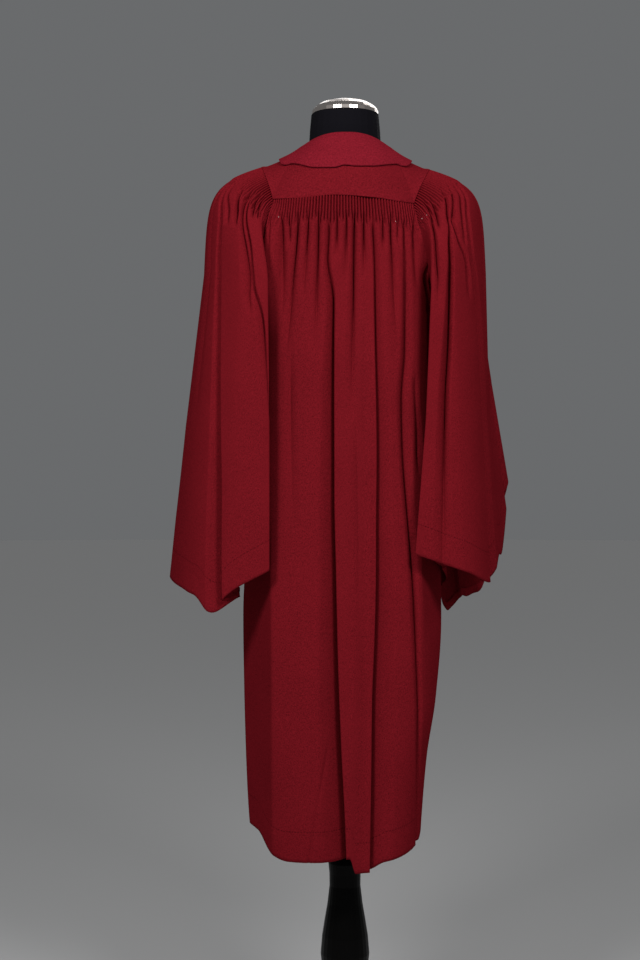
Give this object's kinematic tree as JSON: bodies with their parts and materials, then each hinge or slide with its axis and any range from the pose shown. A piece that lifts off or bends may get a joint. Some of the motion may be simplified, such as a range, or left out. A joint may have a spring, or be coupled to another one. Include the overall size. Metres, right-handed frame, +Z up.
{
  "type": "graduation gown on a dress form",
  "caption": "Deep maroon graduation gown with a pleated back, open front, bell sleeves and a fold-over collar, worn by a black limbless dress form on a turned pole.",
  "frame": {"origin": "centre of the round base's underside, on the axis of the pole", "axes": "+Z up along the pole; the gown's back faces -Y and its open front faces +Y; +X is the wearer's right"},
  "size_m": [0.5794, 0.3574, 1.664],
  "materials": {
    "gown_cloth": "matte",
    "jersey": "matte",
    "cap_metal": "polished",
    "stand_wood": "satin"
  },
  "bodies": {
    "root": {"yoke": "gown_cloth", "back_panel": "gown_cloth", "front_left": "gown_cloth", "front_right": "gown_cloth", "sleeve_left": "gown_cloth", "sleeve_right": "gown_cloth", "collar": "gown_cloth", "form_body": "jersey", "neck_cap": "cap_metal", "pole": "stand_wood", "base": "stand_wood"}
  },
  "joints": []
}
